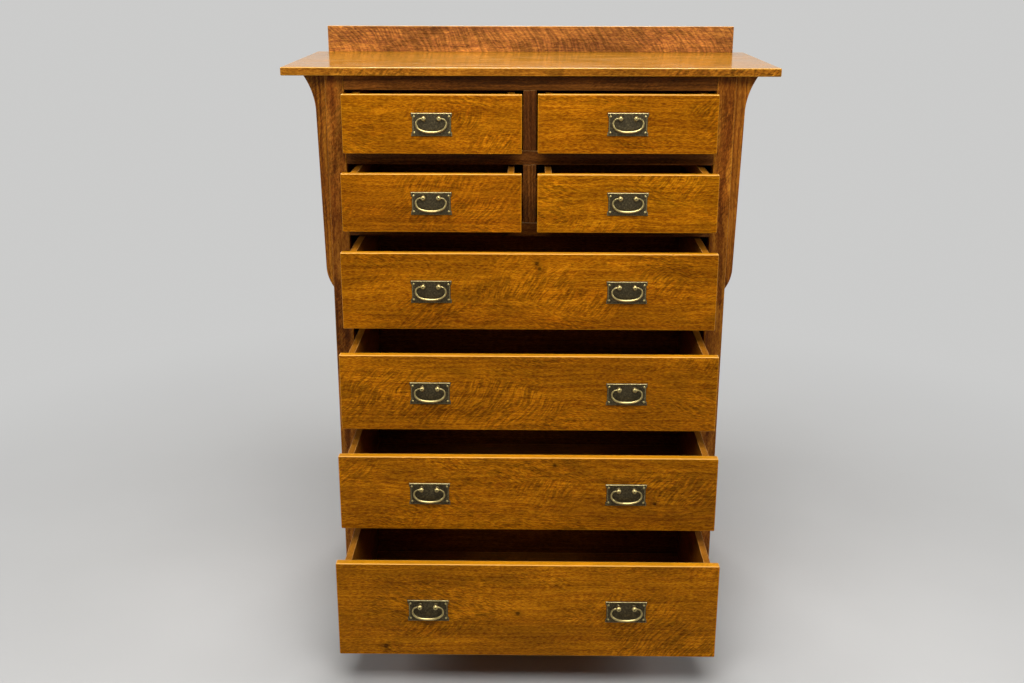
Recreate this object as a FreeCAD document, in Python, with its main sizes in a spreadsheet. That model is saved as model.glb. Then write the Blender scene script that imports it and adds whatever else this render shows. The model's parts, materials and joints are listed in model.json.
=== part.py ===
import FreeCAD, Part

import math
import os

import Sketcher

# A tall oak chest of drawers in the Mission style: four square posts joined by
# rails and side panels, an overhanging top with a low board at its back, slender
# corbels under the ends of the top, and eight inset drawers on telescopic slides,
# each stored pulled out by its own amount and fitted with hanging bail pulls.
#
# Millimetres, +Z up, the drawer fronts face -Y. The origin is on the floor, at the
# middle of the box that the chest takes up with its drawers open.

SIZES = {
    # The top and the board standing along its back edge
    "top_width": 1150,
    "top_depth": 508,
    "top_thickness": 19,
    "top_front_overhang": 30,
    "top_ease": 2,
    "backsplash_width": 1084,
    "backsplash_height": 68,
    "backsplash_thickness": 19,
    "backsplash_ease": 1.5,

    # Posts, side frames and back
    "post_side": 44.5,
    "post_ease": 1.5,
    "foot_clearance": 55,
    "side_rail_thickness": 22,
    "side_rail_recess": 5,
    "upper_side_rail_height": 80,
    "lower_side_rail_height": 60,
    "side_panel_thickness": 12,
    "panel_groove_depth": 8,
    "back_panel_thickness": 6,
    "back_rabbet_width": 12,
    "back_rail_thickness": 22,

    # Face frame
    "opening_width": 869,
    "top_rail_height": 35,
    "drawer_rail_height": 33,
    "bottom_rail_height": 45,
    "face_rail_depth": 21,
    "centre_stile_width": 31,
    "divider_thickness": 19,

    # Corbels
    "corbel_projection": 45,
    "corbel_height": 516,
    "corbel_thickness": 22,
    "corbel_waist": 21,
    "corbel_sweep_drop": 90,
    "corbel_foot_width": 15.2,
    "corbel_foot_drop": 54,

    # Drawer fronts
    "small_front_height": 135,
    "medium_front_height": 181,
    "large_front_height": 233,
    "front_thickness": 20,
    "front_gap": 2.5,
    "front_ease": 1.5,

    # Drawer boxes
    "box_back_gap": 4,
    "box_side_thickness": 15,
    "box_back_thickness": 15,
    "box_side_gap": 20.5,
    "box_top_drop": 3,
    "box_bottom_rise": 8,
    "box_bottom_thickness": 6,
    "box_bottom_inset": 10,
    "box_groove_depth": 6,

    # Telescopic slides and the cleats that carry them
    "slide_end_gap": 2,
    "slide_height": 44,
    "slide_width": 12.7,
    "slide_sheet": 1.2,
    "slide_clearance": 0.5,
    "cleat_height": 60,

    # How far each drawer stands open, as a share of its slides' travel
    "open_1_left_share": 0.159,
    "open_1_right_share": 0.136,
    "open_2_left_share": 0.273,
    "open_2_right_share": 0.272,
    "open_3_share": 0.386,
    "open_4_share": 0.568,
    "open_5_share": 0.728,
    "open_6_share": 0.95,

    # Bail pulls
    "plate_width": 94.5,
    "plate_height": 53.5,
    "plate_thickness": 2.2,
    "plate_waist": 2.5,
    "plate_bevel": 1,
    "knob_spacing": 35.4,
    "knob_rise": 14.5,
    "knob_radius": 6,
    "knob_neck_radius": 3.3,
    "knob_neck_length": 5,
    "knob_standoff": 10,
    "knob_hole_depth": 4.5,
    "bail_half_width": 34.5,
    "bail_drop": 30.8,
    "bail_shoulder_run": 2,
    "bail_wire_radius": 2.7,
    "bail_pin_radius": 1.9,
    "bail_clearance": 0.3,
    "bail_running_clearance": 0.1,

    # Every cut runs this far past the face it opens
    "overrun": 1,
}

# A bail's bow and shoulders are bent in short straight steps. The bow is squarer than an
# ellipse: the lower this share, the squarer.
BOW_STEPS = 7
BOW_ROUNDNESS_SHARE = 0.84
SHOULDER_STEPS = 3
# The bail's wire and the holes for its pins have six flat sides, with the corners this much
# further out than the flats
HEXAGON = 6
HEXAGON_CORNER_SHARE = 1 / math.cos(math.pi / HEXAGON)
# The ball of a pull's post: each ring's distance out from the ball's middle and its
# radius, as shares of the ball's radius
KNOB_SIDES = 10
KNOB_RING_SHARES = ((-0.35, 1), (0.4, 0.96), (0.88, 0.5))
KNOB_NOSE_SHARE = KNOB_RING_SHARES[-1][0]
QUARTER_TURN = 90
LEFT = -1
RIGHT = 1
X_AXIS = FreeCAD.Vector(1, 0, 0)
Y_AXIS = FreeCAD.Vector(0, 1, 0)
Z_AXIS = FreeCAD.Vector(0, 0, 1)


class Length:
    """A length that keeps the formula it came from, so that a property can be bound to it."""

    def __init__(self, formula, value):
        self.formula = formula
        self.value = value

    def combined(self, sign, other, value):
        return Length(f"({self.formula} {sign} {formula_of(other)})", value)

    def __add__(self, other):
        return self.combined("+", other, self.value + value_of(other))

    def __sub__(self, other):
        return self.combined("-", other, self.value - value_of(other))

    def __mul__(self, other):
        return self.combined("*", other, self.value * value_of(other))

    def __truediv__(self, other):
        return self.combined("/", other, self.value / value_of(other))

    def __neg__(self):
        return Length(f"(-{self.formula})", -self.value)


def formula_of(length):
    return length.formula if isinstance(length, Length) else f"({length})"


def value_of(length):
    return length.value if isinstance(length, Length) else length


class Sheet:
    """A spreadsheet with one named row for each length, which reads back as attributes."""

    def __init__(self, document, name):
        self.cells = document.addObject("Spreadsheet::Sheet", name)
        self.name = name
        self.rows = 0

    def add(self, alias, content, value):
        self.rows += 1
        self.cells.set(f"A{self.rows}", alias)
        self.cells.set(f"B{self.rows}", content)
        self.cells.setAlias(f"B{self.rows}", alias)
        setattr(self, alias, Length(f"{self.name}.{alias}", value))


doc = FreeCAD.newDocument("dresser")
size = Sheet(doc, "Sizes")
for size_name, number in SIZES.items():
    size.add(size_name, str(number), number)
place = Sheet(doc, "Places")


def derive(alias, length):
    """Name a length that follows from the driving sizes."""
    place.add(alias, f"={length.formula}", length.value)


# Heights, from the floor up. Row 6 is the lowest row of drawers.
ROW_HEIGHTS = {
    "1": size.small_front_height,
    "2": size.small_front_height,
    "3": size.medium_front_height,
    "4": size.medium_front_height,
    "5": size.medium_front_height,
    "6": size.large_front_height,
}
derive("opening_6_low", size.foot_clearance + size.bottom_rail_height)
for row in ("6", "5", "4", "3", "2", "1"):
    opening_low = getattr(place, f"opening_{row}_low")
    derive(f"front_{row}_low", opening_low + size.front_gap)
    derive(f"opening_{row}_high", getattr(place, f"front_{row}_low") + ROW_HEIGHTS[row] + size.front_gap)
    if row != "1":
        above = str(int(row) - 1)
        derive(f"opening_{above}_low", getattr(place, f"opening_{row}_high") + size.drawer_rail_height)
derive("post_height", place.opening_1_high + size.top_rail_height)

# Front to back. The plane of the posts' front faces is placed so that the origin is
# midway between the case's back and the knobs of the drawer that is furthest out.
derive("case_depth", size.top_depth - size.top_front_overhang)
derive("box_depth", place.case_depth - size.back_panel_thickness - size.box_back_gap - size.front_thickness)
derive(
    "slide_length",
    size.front_thickness + place.box_depth - size.face_rail_depth - size.slide_end_gap,
)
for drawer_name in ("1_left", "1_right", "2_left", "2_right", "3", "4", "5", "6"):
    open_share = getattr(size, f"open_{drawer_name}_share")
    derive(f"open_{drawer_name}", place.slide_length * open_share)
derive("knob_reach", size.knob_standoff + size.knob_radius * KNOB_NOSE_SHARE)
derive("pull_reach", size.plate_thickness + place.knob_reach)
derive("front_plane", (place.open_6 + place.pull_reach - place.case_depth) / 2)
derive("back_plane", place.front_plane + place.case_depth)
derive("back_panel_face", place.back_plane - size.back_panel_thickness)
derive("rail_back", place.front_plane + size.face_rail_depth)
derive("rear_post_face", place.back_plane - size.post_side)


# Left to right, measured outward from the middle
derive("half_opening", size.opening_width / 2)
derive("half_case", place.half_opening + size.post_side)
derive("half_stile", size.centre_stile_width / 2)
derive("small_front_width", place.half_opening - place.half_stile - size.front_gap * 2)
derive("full_front_width", size.opening_width - size.front_gap * 2)
derive("pull_offset", place.half_stile + size.front_gap + place.small_front_width / 2)

# The side panels stand in the middle of their rails' thickness
derive(
    "panel_recess",
    size.side_rail_recess + (size.side_rail_thickness - size.side_panel_thickness) / 2,
)

# The slides, measured from the box side outward
derive("middle_member_web", size.slide_width - size.slide_sheet * 2 - size.slide_clearance)
derive("flange_reach", size.slide_sheet + size.slide_clearance)
derive("half_outer_member", size.slide_height / 2)
derive("half_middle_member", place.half_outer_member - place.flange_reach)
derive("half_inner_member", place.half_middle_member - place.flange_reach)

# The bail's wire, measured from its pivot
derive("bail_start", size.knob_spacing / 2 + size.knob_radius + size.bail_clearance)
derive("shoulder_start", place.bail_start + size.bail_shoulder_run)
derive("shoulder_radius", size.bail_half_width - place.shoulder_start)
derive("bail_lower_drop", size.bail_drop - place.shoulder_radius)
doc.recompute()


def bind(thing, **lengths):
    """Bind properties of an object to lengths."""
    for name, length in lengths.items():
        thing.setExpression(name, formula_of(length))


def move(thing, x, y, z):
    """Bind an object's place to three lengths."""
    for axis, length in zip("xyz", (x, y, z)):
        thing.setExpression(f"Placement.Base.{axis}", formula_of(length))


def block(name, x, y, z):
    """A plain board from three (low, high) pairs of lengths."""
    board = doc.addObject("Part::Box", name)
    bind(board, Length=x[1] - x[0], Width=y[1] - y[0], Height=z[1] - z[0])
    move(board, x[0], y[0], z[0])
    return board


def eased_board(name, x, y, z, ease):
    """A board from three (low, high) pairs, with all its edges taken off by ease."""
    body = doc.addObject("PartDesign::Body", name)
    board = body.newObject("PartDesign::AdditiveBox", f"{name}_blank")
    bind(board, Length=x[1] - x[0], Width=y[1] - y[0], Height=z[1] - z[0])
    doc.recompute()
    edges = body.newObject("PartDesign::Chamfer", f"{name}_eased_edges")
    edges.Base = (board, [""])
    edges.UseAllEdges = True
    bind(edges, Size=ease)
    move(body, x[0], y[0], z[0])
    return body


def origin_plane(body, role):
    return next(item for item in body.Origin.OriginFeatures if item.Role == role)


def arc_between(start, end, radius, bulge):
    """The minor arc from start to end: bulge is 1 if it swings out to the right of that way."""
    chord = end - start
    half = chord.Length / 2
    across = FreeCAD.Vector(-chord.y, chord.x, 0).normalize() * bulge
    centre = (start + end) / 2 + across * (radius * radius - half * half) ** 0.5
    first, last = (start, end) if bulge > 0 else (end, start)
    circle = Part.Circle(centre, Z_AXIS, radius)
    return Part.ArcOfCircle(circle, circle.parameter(first), circle.parameter(last))


def sketch_path(body, name, role, points, arcs=None, closed=True):
    """A sketch through points, each bound to its two lengths.

    arcs gives the (radius, bulge) of the sides that are round, by the number of the side.
    """
    arcs = arcs or {}
    sketch = body.newObject("Sketcher::SketchObject", name)
    sketch.AttachmentSupport = (origin_plane(body, role), [""])
    sketch.MapMode = "FlatFace"
    spots = [FreeCAD.Vector(value_of(x), value_of(y), 0) for x, y in points]
    sides = len(points) if closed else len(points) - 1
    ends = []
    for side in range(sides):
        start = spots[side]
        end = spots[(side + 1) % len(spots)]
        if side in arcs:
            radius, bulge = arcs[side]
            sketch.addGeometry(arc_between(start, end, value_of(radius), bulge))
            ends.append((1, 2) if bulge > 0 else (2, 1))
            number = sketch.addConstraint(Sketcher.Constraint("Radius", side, value_of(radius)))
            sketch.setExpression(f"Constraints[{number}]", formula_of(radius))
        else:
            sketch.addGeometry(Part.LineSegment(start, end))
            ends.append((1, 2))
    for side in range(sides if closed else sides - 1):
        after = (side + 1) % sides
        sketch.addConstraint(
            Sketcher.Constraint("Coincident", side, ends[side][1], after, ends[after][0])
        )
    for corner, point in enumerate(points):
        side, end = (corner, ends[corner][0]) if corner < sides else (corner - 1, ends[-1][1])
        for kind, length in zip(("DistanceX", "DistanceY"), point):
            number = sketch.addConstraint(
                Sketcher.Constraint(kind, -1, 1, side, end, float(value_of(length)))
            )
            sketch.setExpression(f"Constraints[{number}]", formula_of(length))
    return sketch


def extrusion(name, role, points, depth, arcs=None, reverse=False):
    """A body made by padding a closed outline drawn on one of its origin planes."""
    body = doc.addObject("PartDesign::Body", name)
    outline = sketch_path(body, f"{name}_outline", role, points, arcs)
    pad = body.newObject("PartDesign::Pad", f"{name}_pad")
    pad.Profile = outline
    pad.Reversed = reverse
    bind(pad, Length=depth)
    return body


def cut(name, base, tool):
    difference = doc.addObject("Part::Cut", name)
    difference.Base = base
    difference.Tool = tool
    return difference


def span(side, near, far):
    """The (low, high) pair along X between two distances from the middle, on one side of it."""
    return (near, far) if side == RIGHT else (-far, -near)


nodes = []


def node(label, *pieces):
    """One named sub-part. Several separate pieces of one kind share it as a group."""
    piece = pieces[0]
    if len(pieces) > 1:
        piece = doc.addObject("Part::Compound", f"{label}_group")
        piece.Links = list(pieces)
    piece.Label = label
    nodes.append(piece)


# The case


def make_top():
    half_top = size.top_width / 2
    top_high = place.post_height + size.top_thickness
    node(
        "top_board",
        eased_board(
            "top",
            (-half_top, half_top),
            (place.front_plane - size.top_front_overhang, place.back_plane),
            (place.post_height, top_high),
            size.top_ease,
        ),
    )
    half_splash = size.backsplash_width / 2
    node(
        "backsplash",
        eased_board(
            "splash",
            (-half_splash, half_splash),
            (place.back_plane - size.backsplash_thickness, place.back_plane),
            (top_high, top_high + size.backsplash_height),
            size.backsplash_ease,
        ),
    )


def post_outline(ease):
    """A square with its four corners taken off, its inner front corner at the origin."""
    far = size.post_side
    return [
        (ease, 0),
        (far - ease, 0),
        (far, ease),
        (far, far - ease),
        (far - ease, far),
        (ease, far),
        (0, far - ease),
        (0, ease),
    ]


def make_post(name, side, front):
    """One post, grooved for the side frame's tongues and panel, and rabbeted at the back."""
    outline = [(x * side, y) for x, y in post_outline(size.post_ease)]
    post = extrusion(name, "XY_Plane", outline, place.post_height)
    move(post, place.half_opening * side, front, 0)
    panel_outer = place.half_case - place.panel_recess
    panel_x = span(side, panel_outer - size.side_panel_thickness, panel_outer)
    if name.startswith("front"):
        groove_face = front + size.post_side
        groove_y = (groove_face - size.panel_groove_depth, groove_face + size.overrun)
    else:
        groove_y = (front - size.overrun, front + size.panel_groove_depth)
    groove = block(
        f"{name}_groove", panel_x, groove_y,
        (size.foot_clearance, place.post_height + size.overrun),
    )
    post = cut(f"{name}_grooved", post, groove)
    if name.startswith("rear"):
        rabbet = block(
            f"{name}_rabbet",
            span(side, place.half_opening - size.overrun, place.half_opening + size.back_rabbet_width),
            (place.back_panel_face, place.back_plane + size.overrun),
            (size.foot_clearance, place.post_height + size.overrun),
        )
        post = cut(f"{name}_rabbeted", post, rabbet)
    return post


def make_posts():
    for end, front in (("front", place.front_plane), ("rear", place.rear_post_face)):
        node(
            f"{end}_posts",
            make_post(f"{end}_left_post", LEFT, front),
            make_post(f"{end}_right_post", RIGHT, front),
        )


def make_corbel(name, side, post_front):
    """A bracket under the top's end: concave sweep, long taper and a rounded foot."""
    flare = size.corbel_projection - size.corbel_waist
    sweep_radius = (flare * flare + size.corbel_sweep_drop * size.corbel_sweep_drop) / (flare * 2)
    foot = size.corbel_foot_width
    foot_radius = (foot * foot + size.corbel_foot_drop * size.corbel_foot_drop) / (foot * 2)
    points = [
        (0, 0),
        (size.corbel_projection * side, 0),
        (size.corbel_waist * side, -size.corbel_sweep_drop),
        (foot * side, size.corbel_foot_drop - size.corbel_height),
        (0, -size.corbel_height),
    ]
    arcs = {1: (sweep_radius, side), 3: (foot_radius, -side)}
    corbel = extrusion(name, "XZ_Plane", points, size.corbel_thickness, arcs, reverse=True)
    centred = (size.post_side - size.corbel_thickness) / 2
    move(corbel, place.half_case * side, post_front + centred, place.post_height)
    return corbel


def make_corbels():
    for end, front in (("front", place.front_plane), ("rear", place.rear_post_face)):
        node(
            f"{end}_corbels",
            make_corbel(f"{end}_left_corbel", LEFT, front),
            make_corbel(f"{end}_right_corbel", RIGHT, front),
        )


def make_side_rail(name, side, low, high, groove_low, groove_high):
    """A rail between the front and rear posts, with a tongue at each end and a panel groove."""
    outer = place.half_case - size.side_rail_recess
    inner = outer - size.side_rail_thickness
    tongue_outer = place.half_case - place.panel_recess
    tongue_inner = tongue_outer - size.side_panel_thickness
    front = place.front_plane + size.post_side
    rear = place.rear_post_face
    tongue = size.panel_groove_depth
    points = [
        (inner, front),
        (tongue_inner, front),
        (tongue_inner, front - tongue),
        (tongue_outer, front - tongue),
        (tongue_outer, front),
        (outer, front),
        (outer, rear),
        (tongue_outer, rear),
        (tongue_outer, rear + tongue),
        (tongue_inner, rear + tongue),
        (tongue_inner, rear),
        (inner, rear),
    ]
    points = [(x * side, y) for x, y in points]
    rail = extrusion(name, "XY_Plane", points, high - low)
    move(rail, 0, 0, low)
    groove = block(
        f"{name}_groove",
        span(side, tongue_inner, tongue_outer),
        (front - tongue - size.overrun, rear + tongue + size.overrun),
        (groove_low, groove_high),
    )
    return cut(f"{name}_grooved", rail, groove)


def make_sides_and_back():
    """Frame-and-panel sides, and the two rails and thin panel that close the back."""
    front = place.front_plane + size.post_side
    lower_top = size.foot_clearance + size.lower_side_rail_height
    upper_low = place.post_height - size.upper_side_rail_height
    panel_low = lower_top - size.panel_groove_depth
    panel_high = upper_low + size.panel_groove_depth
    rails = []
    panels = []
    for side, word in ((LEFT, "left"), (RIGHT, "right")):
        rails.append(
            make_side_rail(
                f"{word}_lower_rail", side, size.foot_clearance, lower_top,
                panel_low, lower_top + size.overrun,
            )
        )
        rails.append(
            make_side_rail(
                f"{word}_upper_rail", side, upper_low, place.post_height,
                upper_low - size.overrun, panel_high,
            )
        )
        panel_outer = place.half_case - place.panel_recess
        panels.append(
            block(
                f"{word}_panel",
                span(side, panel_outer - size.side_panel_thickness, panel_outer),
                (front - size.panel_groove_depth, place.rear_post_face + size.panel_groove_depth),
                (panel_low, panel_high),
            )
        )
    back_rail_y = (place.back_panel_face - size.back_rail_thickness, place.back_panel_face)
    between_posts = (-place.half_opening, place.half_opening)
    rails.append(
        block("back_upper_rail", between_posts, back_rail_y, (place.opening_1_high, place.post_height))
    )
    rails.append(
        block("back_lower_rail", between_posts, back_rail_y, (size.foot_clearance, place.opening_6_low))
    )
    node("side_panels", *panels)
    node("side_and_back_rails", *rails)
    back_half = place.half_opening + size.back_rabbet_width
    node(
        "back_panel",
        block(
            "thin_back",
            (-back_half, back_half),
            (place.back_panel_face, place.back_plane),
            (size.foot_clearance, place.post_height),
        ),
    )


def make_face_frame():
    """The rails between the front posts, and the stiles that part the two upper rows."""
    across = (-place.half_opening, place.half_opening)
    rail_y = (place.front_plane, place.rail_back)
    node("top_rail", block("face_top_rail", across, rail_y, (place.opening_1_high, place.post_height)))
    rails = []
    for upper, lower in ("12", "23", "34", "45", "56"):
        height = (getattr(place, f"opening_{lower}_high"), getattr(place, f"opening_{upper}_low"))
        rails.append(block(f"face_rail_{upper}_{lower}", across, rail_y, height))
    node("drawer_rails", *rails)
    node(
        "bottom_rail",
        block("face_bottom_rail", across, rail_y, (size.foot_clearance, place.opening_6_low)),
    )
    stile_x = (-place.half_stile, place.half_stile)
    node(
        "centre_stiles",
        block("upper_stile", stile_x, rail_y, (place.opening_1_low, place.opening_1_high)),
        block("lower_stile", stile_x, rail_y, (place.opening_2_low, place.opening_2_high)),
    )


def make_divider():
    """The board behind the stiles, notched at its top rear corner round the back rail."""
    notch_y = place.back_panel_face - size.back_rail_thickness
    low = place.opening_3_high
    points = [
        (place.rail_back, low),
        (place.back_panel_face, low),
        (place.back_panel_face, place.opening_1_high),
        (notch_y, place.opening_1_high),
        (notch_y, place.post_height),
        (place.rail_back, place.post_height),
    ]
    divider = extrusion("divider", "YZ_Plane", points, size.divider_thickness)
    move(divider, -(size.divider_thickness / 2), 0, 0)
    node("centre_divider", divider)


# The drawers, each as its tag, its row, the near and far sides of its opening from the
# middle, how far it is open, and the places of its pulls

DRAWERS = []
for row in ("1", "2"):
    for side, word in ((LEFT, "left"), (RIGHT, "right")):
        opening_x = span(side, place.half_stile, place.half_opening)
        opened = getattr(place, f"open_{row}_{word}")
        DRAWERS.append((f"drawer_{row}_{word}", row, opening_x, opened, {"": place.pull_offset * side}))
for row in ("3", "4", "5", "6"):
    opening_x = (-place.half_opening, place.half_opening)
    opened = getattr(place, f"open_{row}")
    pulls = {"left_": -place.pull_offset, "right_": place.pull_offset}
    DRAWERS.append((f"drawer_{row}", row, opening_x, opened, pulls))


def slide_height_of(row):
    """The middle of a row's slides: halfway up its drawer boxes."""
    low = getattr(place, f"front_{row}_low") + size.box_bottom_rise
    high = getattr(place, f"front_{row}_low") + ROW_HEIGHTS[row] - size.box_top_drop
    return (low + high) / 2


def channel(name, x, y, z, outward, web, lip, half_height):
    """One bent member of a slide: a web with a flange along its upper and lower edges.

    x is the face of the drawer box that the slide serves, and web and lip are measured
    outward from it: the web's face on the closed side, and the flanges' free edges.
    """
    sheet = size.slide_sheet if value_of(lip) > value_of(web) else -size.slide_sheet
    inside = sheet + web
    low = -half_height
    points = [
        (web, low),
        (lip, low),
        (lip, low + size.slide_sheet),
        (inside, low + size.slide_sheet),
        (inside, half_height - size.slide_sheet),
        (lip, half_height - size.slide_sheet),
        (lip, half_height),
        (web, half_height),
    ]
    points = [(across * outward if across else 0, height) for across, height in points]
    member = extrusion(name, "XZ_Plane", points, place.slide_length, reverse=True)
    move(member, x, y, z)
    return member


def slide_members(name, row, box_x, opened, kind):
    """The left and right members of one kind for one drawer."""
    front = {
        "outer": place.rail_back,
        "middle": place.rail_back - opened / 2,
        "inner": place.rail_back - opened,
    }[kind]
    web, lip, half_height = {
        "outer": (size.slide_width, place.flange_reach, place.half_outer_member),
        "middle": (
            place.middle_member_web + size.slide_sheet, place.flange_reach, place.half_middle_member,
        ),
        "inner": (0, place.middle_member_web - size.slide_clearance, place.half_inner_member),
    }[kind]
    return [
        channel(
            f"{name}_{kind}_member_{word}", face, front, slide_height_of(row), outward,
            web, lip, half_height,
        )
        for face, outward, word in ((box_x[0], LEFT, "left"), (box_x[1], RIGHT, "right"))
    ]


def make_cleats():
    """The strips that bring the slides out to the drawer boxes, two for each drawer."""
    cleats = []
    mid_cavity = (place.front_plane + size.post_side, place.rear_post_face)
    proud = place.half_opening - size.box_side_gap + size.slide_width
    side_rail_inner = place.half_case - size.side_rail_recess - size.side_rail_thickness
    ends = (place.rail_back, place.back_panel_face)
    for row, front_height in ROW_HEIGHTS.items():
        middle = slide_height_of(row)
        low = middle - size.cleat_height / 2
        points = [
            (proud, ends[0]),
            (place.half_opening, ends[0]),
            (place.half_opening, mid_cavity[0]),
            (side_rail_inner, mid_cavity[0]),
            (side_rail_inner, mid_cavity[1]),
            (place.half_opening, mid_cavity[1]),
            (place.half_opening, ends[1]),
            (proud, ends[1]),
        ]
        for side, word in ((LEFT, "left"), (RIGHT, "right")):
            mirrored = [(x * side, y) for x, y in points]
            cleat = extrusion(f"cleat_{row}_{word}", "XY_Plane", mirrored, size.cleat_height)
            move(cleat, 0, 0, low)
            cleats.append(cleat)
            if row in ("1", "2"):
                divider_face = size.divider_thickness / 2
                inner_proud = place.half_stile + size.box_side_gap - size.slide_width
                cleats.append(
                    block(
                        f"centre_cleat_{row}_{word}",
                        span(side, divider_face, inner_proud),
                        ends,
                        (low, low + size.cleat_height),
                    )
                )
    node("slide_cleats", *cleats)


def make_outer_members():
    members = []
    for name, row, opening_x, opened, pulls in DRAWERS:
        box_x = (opening_x[0] + size.box_side_gap, opening_x[1] - size.box_side_gap)
        members.extend(slide_members(name, row, box_x, opened, "outer"))
    node("slide_outer_members", *members)


def make_plate(name, x, y, z):
    """A back plate with drawn-in sides and a bevelled face."""
    across = size.plate_width / 2
    up = size.plate_height / 2
    waist = size.plate_waist
    side_radius = (up * up + waist * waist) / (waist * 2)
    points = [(-across, -up), (across, -up), (across, up), (-across, up)]
    arcs = {1: (side_radius, LEFT), 3: (side_radius, LEFT)}
    plate = extrusion(name, "XZ_Plane", points, size.plate_thickness, arcs)
    doc.recompute()
    pad = plate.Tip
    face = max(range(len(pad.Shape.Faces)), key=lambda number: -pad.Shape.Faces[number].CenterOfMass.y)
    bevel = plate.newObject("PartDesign::Chamfer", f"{name}_bevel")
    bevel.Base = (pad, [f"Face{face + 1}"])
    bind(bevel, Size=size.plate_bevel)
    move(plate, x, y, z)
    return plate


def make_knob(name, x, y, z, outward):
    """A round post on the plate, with a hole in its outer side for the bail's pin."""
    middle = size.knob_standoff
    rings = [(0, size.knob_neck_radius), (size.knob_neck_length, size.knob_neck_radius)]
    for out_share, radius_share in KNOB_RING_SHARES:
        rings.append((middle + size.knob_radius * out_share, size.knob_radius * radius_share))
    sections = []
    for number, (out, radius) in enumerate(rings):
        ring = doc.addObject("Part::RegularPolygon", f"{name}_ring_{number}")
        ring.Polygon = KNOB_SIDES
        bind(ring, Circumradius=radius)
        move(ring, 0, 0, out)
        sections.append(ring)
    post = doc.addObject("Part::Loft", f"{name}_post")
    post.Sections = sections
    post.Solid = True
    post.Ruled = True
    hole = doc.addObject("Part::Prism", f"{name}_pin_hole")
    hole.Polygon = HEXAGON
    bind(
        hole,
        Circumradius=(size.bail_pin_radius + size.bail_running_clearance) * HEXAGON_CORNER_SHARE,
        Height=size.knob_hole_depth + size.overrun,
    )
    hole.Placement = FreeCAD.Placement(FreeCAD.Vector(), FreeCAD.Rotation(Y_AXIS, QUARTER_TURN))
    if outward == RIGHT:
        move(hole, size.knob_radius - size.knob_hole_depth, 0, middle)
    else:
        move(hole, -(size.knob_radius + size.overrun), 0, middle)
    knob = cut(name, post, hole)
    knob.Placement = FreeCAD.Placement(FreeCAD.Vector(), FreeCAD.Rotation(X_AXIS, QUARTER_TURN))
    move(knob, x, y, z)
    return knob


def bail_points():
    """The bail's middle line, from its left end down, across and up to its right end."""
    shoulder = [(place.bail_start, 0)]
    for step in range(SHOULDER_STEPS):
        turn = math.pi / 2 * step / SHOULDER_STEPS
        out = place.shoulder_start + place.shoulder_radius * math.sin(turn)
        shoulder.append((out, place.shoulder_radius * (math.cos(turn) - 1) if step else 0))
    bow = []
    for step in range(1, BOW_STEPS):
        turn = math.pi * step / BOW_STEPS
        out_share = math.copysign(abs(math.cos(turn)) ** BOW_ROUNDNESS_SHARE, -math.cos(turn))
        drop_share = math.sin(turn) ** BOW_ROUNDNESS_SHARE
        bow.append(
            (size.bail_half_width * out_share, -(place.shoulder_radius + place.bail_lower_drop * drop_share))
        )
    bow.insert(0, (-size.bail_half_width, -place.shoulder_radius))
    bow.append((size.bail_half_width, -place.shoulder_radius))
    return [(-out, up) for out, up in shoulder] + bow + shoulder[::-1]


def make_bail(name, x, y, z):
    """The hanging handle: a bent wire with a round pin at each end, pivoting on its X axis."""
    body = doc.addObject("PartDesign::Body", name)
    points = bail_points()
    path = sketch_path(body, f"{name}_path", "XZ_Plane", points, closed=False)
    reach = size.bail_wire_radius
    corner = reach * HEXAGON_CORNER_SHARE
    half_flat = corner / 2
    ring = [
        (reach, half_flat), (0, corner), (-reach, half_flat),
        (-reach, -half_flat), (0, -corner), (reach, -half_flat),
    ]
    section = sketch_path(body, f"{name}_section", "YZ_Plane", ring)
    section.setExpression("AttachmentOffset.Base.z", formula_of(-place.bail_start))
    wire = body.newObject("PartDesign::AdditivePipe", f"{name}_wire")
    wire.Profile = section
    wire.Spine = (path, [f"Edge{number}" for number in range(1, len(points))])
    wire.Transition = "Right corner"
    doc.recompute()
    pin_end = size.knob_spacing / 2 + size.knob_radius - size.knob_hole_depth + size.bail_clearance
    for low, word in ((-place.bail_start, "left"), (pin_end, "right")):
        pin = body.newObject("PartDesign::AdditiveCylinder", f"{name}_{word}_pin")
        pin.Placement = FreeCAD.Placement(FreeCAD.Vector(), FreeCAD.Rotation(Y_AXIS, QUARTER_TURN))
        move(pin, low, 0, 0)
        bind(pin, Radius=size.bail_pin_radius, Height=place.bail_start - pin_end)
    move(body, x, y, z)
    return body


def make_box_side(name, x_face, inward, y, low, high):
    """A drawer side with the groove that holds the bottom, its outer face at x_face."""
    groove_low = size.box_bottom_inset
    groove_high = groove_low + size.box_bottom_thickness
    inner = size.box_side_thickness
    groove = inner - size.box_groove_depth
    tall = high - low
    points = [
        (0, 0), (inner, 0), (inner, groove_low), (groove, groove_low),
        (groove, groove_high), (inner, groove_high), (inner, tall), (0, tall),
    ]
    points = [(across * inward if across else 0, height) for across, height in points]
    side = extrusion(name, "XZ_Plane", points, place.box_depth, reverse=True)
    move(side, x_face, y, low)
    return side


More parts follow.
